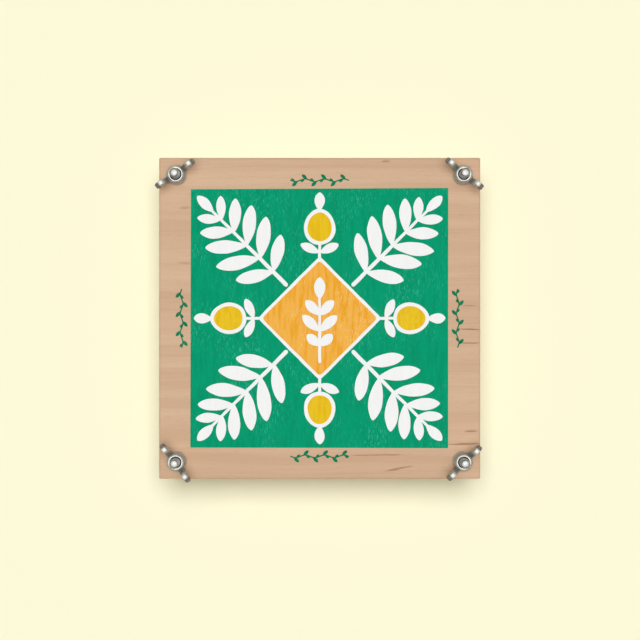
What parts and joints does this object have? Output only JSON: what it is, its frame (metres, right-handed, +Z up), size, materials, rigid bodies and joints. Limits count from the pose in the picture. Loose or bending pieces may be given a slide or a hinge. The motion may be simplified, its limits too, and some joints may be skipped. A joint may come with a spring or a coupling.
{
  "type": "flower press",
  "caption": "Square flower press: plywood boards squeeze corrugated cards and blotters, drawn together by wing nuts on corner bolts, with a printed leaf pattern on the top board.",
  "frame": {"origin": "middle of the bottom board's underside", "axes": "+Z up, along the bolts; +X to the right and +Y to the back, along the boards' edges"},
  "size_m": [0.2027, 0.2014, 0.0653],
  "materials": {
    "plywood": "sanded and sealed",
    "corrugated_card": "kraft",
    "blotting_paper": "soft, uncoated",
    "zinc_steel": "zinc plated",
    "cast_zinc": "zinc plated malleable iron",
    "green_ink": "screen print",
    "white_ink": "screen print",
    "yellow_ink": "screen print",
    "orange_ink": "screen print"
  },
  "bodies": {
    "base": {"bottom_board": "plywood", "square_neck_bolt_front_left": "zinc_steel", "square_neck_bolt_front_right": "zinc_steel", "square_neck_bolt_back_left": "zinc_steel", "square_neck_bolt_back_right": "zinc_steel"},
    "corrugated_card_1": {"corrugated_card_1": "corrugated_card"},
    "blotter_01": {"blotter_01": "blotting_paper"},
    "blotter_02": {"blotter_02": "blotting_paper"},
    "corrugated_card_2": {"corrugated_card_2": "corrugated_card"},
    "blotter_03": {"blotter_03": "blotting_paper"},
    "blotter_04": {"blotter_04": "blotting_paper"},
    "corrugated_card_3": {"corrugated_card_3": "corrugated_card"},
    "blotter_05": {"blotter_05": "blotting_paper"},
    "blotter_06": {"blotter_06": "blotting_paper"},
    "corrugated_card_4": {"corrugated_card_4": "corrugated_card"},
    "blotter_07": {"blotter_07": "blotting_paper"},
    "blotter_08": {"blotter_08": "blotting_paper"},
    "corrugated_card_5": {"corrugated_card_5": "corrugated_card"},
    "blotter_09": {"blotter_09": "blotting_paper"},
    "blotter_10": {"blotter_10": "blotting_paper"},
    "corrugated_card_6": {"corrugated_card_6": "corrugated_card"},
    "top_board": {"top_board": "plywood"},
    "wing_nut_front_left": {"wing_nut_front_left": "cast_zinc"},
    "wing_nut_front_right": {"wing_nut_front_right": "cast_zinc"},
    "wing_nut_back_left": {"wing_nut_back_left": "cast_zinc"},
    "wing_nut_back_right": {"wing_nut_back_right": "cast_zinc"}
  },
  "joints": [
    {"name": "corrugated_card_1_lift", "type": "slide", "parent": "base", "child": "corrugated_card_1", "axis": [0, 0, 1], "range_m": [0, 0.00035732]},
    {"name": "blotter_01_lift", "type": "slide", "parent": "base", "child": "blotter_01", "axis": [0, 0, 1], "range_m": [0, 0.00071464]},
    {"name": "blotter_02_lift", "type": "slide", "parent": "base", "child": "blotter_02", "axis": [0, 0, 1], "range_m": [0, 0.00286]},
    {"name": "corrugated_card_2_lift", "type": "slide", "parent": "base", "child": "corrugated_card_2", "axis": [0, 0, 1], "range_m": [0, 0.00322]},
    {"name": "blotter_03_lift", "type": "slide", "parent": "base", "child": "blotter_03", "axis": [0, 0, 1], "range_m": [0, 0.00357]},
    {"name": "blotter_04_lift", "type": "slide", "parent": "base", "child": "blotter_04", "axis": [0, 0, 1], "range_m": [0, 0.00572]},
    {"name": "corrugated_card_3_lift", "type": "slide", "parent": "base", "child": "corrugated_card_3", "axis": [0, 0, 1], "range_m": [0, 0.00607]},
    {"name": "blotter_05_lift", "type": "slide", "parent": "base", "child": "blotter_05", "axis": [0, 0, 1], "range_m": [0, 0.00643]},
    {"name": "blotter_06_lift", "type": "slide", "parent": "base", "child": "blotter_06", "axis": [0, 0, 1], "range_m": [0, 0.00858]},
    {"name": "corrugated_card_4_lift", "type": "slide", "parent": "base", "child": "corrugated_card_4", "axis": [0, 0, 1], "range_m": [0, 0.00893]},
    {"name": "blotter_07_lift", "type": "slide", "parent": "base", "child": "blotter_07", "axis": [0, 0, 1], "range_m": [0, 0.00929]},
    {"name": "blotter_08_lift", "type": "slide", "parent": "base", "child": "blotter_08", "axis": [0, 0, 1], "range_m": [0, 0.01143]},
    {"name": "corrugated_card_5_lift", "type": "slide", "parent": "base", "child": "corrugated_card_5", "axis": [0, 0, 1], "range_m": [0, 0.01179]},
    {"name": "blotter_09_lift", "type": "slide", "parent": "base", "child": "blotter_09", "axis": [0, 0, 1], "range_m": [0, 0.01215]},
    {"name": "blotter_10_lift", "type": "slide", "parent": "base", "child": "blotter_10", "axis": [0, 0, 1], "range_m": [0, 0.01429]},
    {"name": "corrugated_card_6_lift", "type": "slide", "parent": "base", "child": "corrugated_card_6", "axis": [0, 0, 1], "range_m": [0, 0.01465]},
    {"name": "top_board_lift", "type": "slide", "parent": "base", "child": "top_board", "axis": [0, 0, 1], "range_m": [0, 0.015]},
    {"name": "wing_nut_front_left_turn", "type": "hinge", "parent": "top_board", "child": "wing_nut_front_left", "pos_m": [-0.0892, -0.0892, 0.047], "axis": [0, 0, 1], "range_deg": [0, 5400.5]},
    {"name": "wing_nut_front_right_turn", "type": "hinge", "parent": "top_board", "child": "wing_nut_front_right", "pos_m": [0.0892, -0.0892, 0.047], "axis": [0, 0, 1], "range_deg": [0, 5400.5]},
    {"name": "wing_nut_back_left_turn", "type": "hinge", "parent": "top_board", "child": "wing_nut_back_left", "pos_m": [-0.0892, 0.0892, 0.047], "axis": [0, 0, 1], "range_deg": [0, 5400.5]},
    {"name": "wing_nut_back_right_turn", "type": "hinge", "parent": "top_board", "child": "wing_nut_back_right", "pos_m": [0.0892, 0.0892, 0.047], "axis": [0, 0, 1], "range_deg": [0, 5400.5]}
  ],
  "couplings": [
    {"joint": "corrugated_card_1_lift", "follows": "top_board_lift", "ratio": 0.02381},
    {"joint": "blotter_01_lift", "follows": "top_board_lift", "ratio": 0.047619},
    {"joint": "blotter_02_lift", "follows": "top_board_lift", "ratio": 0.19048},
    {"joint": "corrugated_card_2_lift", "follows": "top_board_lift", "ratio": 0.21429},
    {"joint": "blotter_03_lift", "follows": "top_board_lift", "ratio": 0.2381},
    {"joint": "blotter_04_lift", "follows": "top_board_lift", "ratio": 0.38095},
    {"joint": "corrugated_card_3_lift", "follows": "top_board_lift", "ratio": 0.40476},
    {"joint": "blotter_05_lift", "follows": "top_board_lift", "ratio": 0.42857},
    {"joint": "blotter_06_lift", "follows": "top_board_lift", "ratio": 0.57143},
    {"joint": "corrugated_card_4_lift", "follows": "top_board_lift", "ratio": 0.59524},
    {"joint": "blotter_07_lift", "follows": "top_board_lift", "ratio": 0.61905},
    {"joint": "blotter_08_lift", "follows": "top_board_lift", "ratio": 0.7619},
    {"joint": "corrugated_card_5_lift", "follows": "top_board_lift", "ratio": 0.78571},
    {"joint": "blotter_09_lift", "follows": "top_board_lift", "ratio": 0.80952},
    {"joint": "blotter_10_lift", "follows": "top_board_lift", "ratio": 0.95238},
    {"joint": "corrugated_card_6_lift", "follows": "top_board_lift", "ratio": 0.97619},
    {"joint": "wing_nut_front_left_turn", "follows": "top_board_lift", "rad_per_m": 6283.2},
    {"joint": "wing_nut_front_right_turn", "follows": "top_board_lift", "rad_per_m": 6283.2},
    {"joint": "wing_nut_back_left_turn", "follows": "top_board_lift", "rad_per_m": 6283.2},
    {"joint": "wing_nut_back_right_turn", "follows": "top_board_lift", "rad_per_m": 6283.2}
  ]
}
